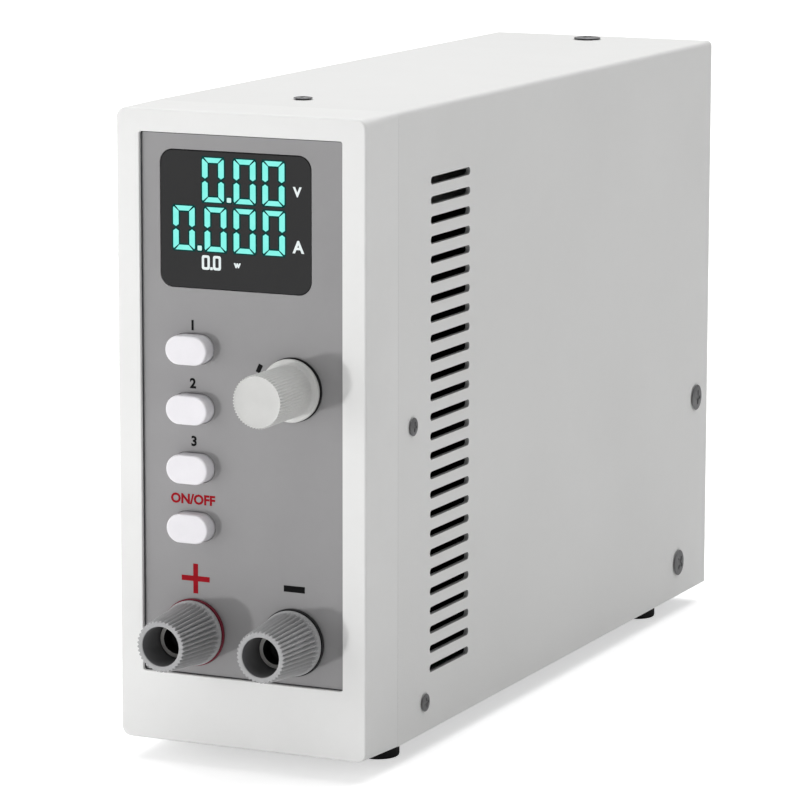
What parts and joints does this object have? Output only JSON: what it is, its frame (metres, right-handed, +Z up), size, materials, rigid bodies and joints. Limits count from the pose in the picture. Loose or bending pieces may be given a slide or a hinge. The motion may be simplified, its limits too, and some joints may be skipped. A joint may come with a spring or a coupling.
{
  "type": "dc electronic load",
  "caption": "Slim upright bench electronic load with a digital display, push buttons, a knob and ribbed binding posts in a vented steel case.",
  "frame": {"origin": "middle of the footprint of the object's bounding box, at the bottom of the feet", "axes": "+X to the right as seen from the front, +Y from the front face to the rear, +Z up"},
  "size_m": [0.0716, 0.2586, 0.167],
  "materials": {
    "white_plastic": "satin moulded",
    "button_plastic": "satin moulded",
    "panel_grey": "fine matt",
    "knob_grey": "satin moulded",
    "post_grey": "satin moulded",
    "cover_paint": "fine powder coat",
    "smoked_window": "smoked, polished",
    "display_glass": "dark display face",
    "board_green": "solder mask",
    "black_plastic": "black moulded",
    "red_plastic": "red moulded",
    "foot_rubber": "matt",
    "plain_steel": "plain",
    "nickel_plate": "nickel plated",
    "brass": "turned",
    "zinc_sheet": "zinc plated sheet",
    "blackened_screw": "blackened",
    "heatsink_aluminium": "extruded",
    "capacitor_sleeve": "shrink sleeve",
    "core_iron": "pressed core",
    "winding_tape": "taped winding"
  },
  "bodies": {
    "case": {"front_bezel": "white_plastic", "front_panel": "panel_grey", "display_window": "smoked_window", "display_module": "display_glass", "front_circuit_board": "board_green", "encoder_body": "black_plastic", "encoder_nut": "plain_steel", "cover": "cover_paint", "chassis_tray": "zinc_sheet", "front_bracket": "zinc_sheet", "rear_panel": "zinc_sheet", "fan_frame": "black_plastic", "power_inlet": "black_plastic", "switch_housing": "black_plastic", "main_circuit_board": "board_green", "input_terminal_block": "black_plastic", "heatsink": "heatsink_aluminium", "power_transistor_1": "black_plastic", "power_transistor_2": "black_plastic", "reservoir_capacitor": "capacitor_sleeve", "transformer_core": "core_iron", "transformer_winding": "winding_tape", "tact_switch_1": "black_plastic", "tact_switch_2": "black_plastic", "tact_switch_3": "black_plastic", "tact_switch_4": "black_plastic", "positive_post_collar": "red_plastic", "positive_post_stud": "nickel_plate", "positive_post_nut": "brass", "positive_lead": "red_plastic", "negative_post_collar": "black_plastic", "negative_post_stud": "nickel_plate", "negative_post_nut": "brass", "negative_lead": "black_plastic", "front_left_foot": "foot_rubber", "front_right_foot": "foot_rubber", "rear_left_foot": "foot_rubber", "rear_right_foot": "foot_rubber", "left_front_mid_screw": "blackened_screw", "left_front_low_screw": "blackened_screw", "left_rear_mid_screw": "blackened_screw", "left_rear_low_screw": "blackened_screw", "right_front_mid_screw": "blackened_screw", "right_front_low_screw": "blackened_screw", "right_rear_mid_screw": "blackened_screw", "right_rear_low_screw": "blackened_screw", "top_front_screw": "blackened_screw", "top_rear_screw": "blackened_screw"},
    "button_1": {"button_1": "button_plastic"},
    "button_2": {"button_2": "button_plastic"},
    "button_3": {"button_3": "button_plastic"},
    "button_4": {"button_4": "button_plastic"},
    "knob": {"knob": "knob_grey", "encoder_shaft": "plain_steel"},
    "positive_post_washer": {"positive_post_washer": "nickel_plate"},
    "positive_post_cap": {"positive_post_cap": "post_grey"},
    "negative_post_washer": {"negative_post_washer": "nickel_plate"},
    "negative_post_cap": {"negative_post_cap": "post_grey"},
    "fan_rotor": {"fan_rotor": "black_plastic"},
    "rocker": {"rocker": "black_plastic"}
  },
  "joints": [
    {"name": "button_1_press", "type": "slide", "parent": "case", "child": "button_1", "axis": [0, 1, 0], "range_m": [0, 0.0005], "stiffness_N_per_m": 2000},
    {"name": "button_2_press", "type": "slide", "parent": "case", "child": "button_2", "axis": [0, 1, 0], "range_m": [0, 0.0005], "stiffness_N_per_m": 2000},
    {"name": "button_3_press", "type": "slide", "parent": "case", "child": "button_3", "axis": [0, 1, 0], "range_m": [0, 0.0005], "stiffness_N_per_m": 2000},
    {"name": "button_4_press", "type": "slide", "parent": "case", "child": "button_4", "axis": [0, 1, 0], "range_m": [0, 0.0005], "stiffness_N_per_m": 2000},
    {"name": "knob_turn", "type": "hinge", "parent": "case", "child": "knob", "pos_m": [0.0138, -0.12076, 0.09771], "axis": [0, 1, 0], "continuous": true},
    {"name": "positive_cap_rise", "type": "slide", "parent": "case", "child": "positive_post_washer", "axis": [0, -1, 0], "range_m": [0, 0.00425]},
    {"name": "positive_cap_unscrew", "type": "hinge", "parent": "positive_post_washer", "child": "positive_post_cap", "pos_m": [-0.0138, -0.11955, 0.0341], "axis": [0, -1, 0], "range_deg": [0, 1530]},
    {"name": "negative_cap_rise", "type": "slide", "parent": "case", "child": "negative_post_washer", "axis": [0, -1, 0], "range_m": [0, 0.00425]},
    {"name": "negative_cap_unscrew", "type": "hinge", "parent": "negative_post_washer", "child": "negative_post_cap", "pos_m": [0.0138, -0.11955, 0.0341], "axis": [0, -1, 0], "range_deg": [0, 1530]},
    {"name": "fan_spin", "type": "hinge", "parent": "case", "child": "fan_rotor", "pos_m": [0, 0.11274, 0.0958], "axis": [0, 1, 0], "continuous": true},
    {"name": "rocker_tilt", "type": "hinge", "parent": "case", "child": "rocker", "pos_m": [0, 0.12524, 0.1475], "axis": [1, 0, 0], "range_deg": [0, 16]}
  ],
  "couplings": [
    {"joint": "positive_cap_unscrew", "follows": "positive_cap_rise", "rad_per_m": 6283.1},
    {"joint": "negative_cap_unscrew", "follows": "negative_cap_rise", "rad_per_m": 6283.1}
  ]
}
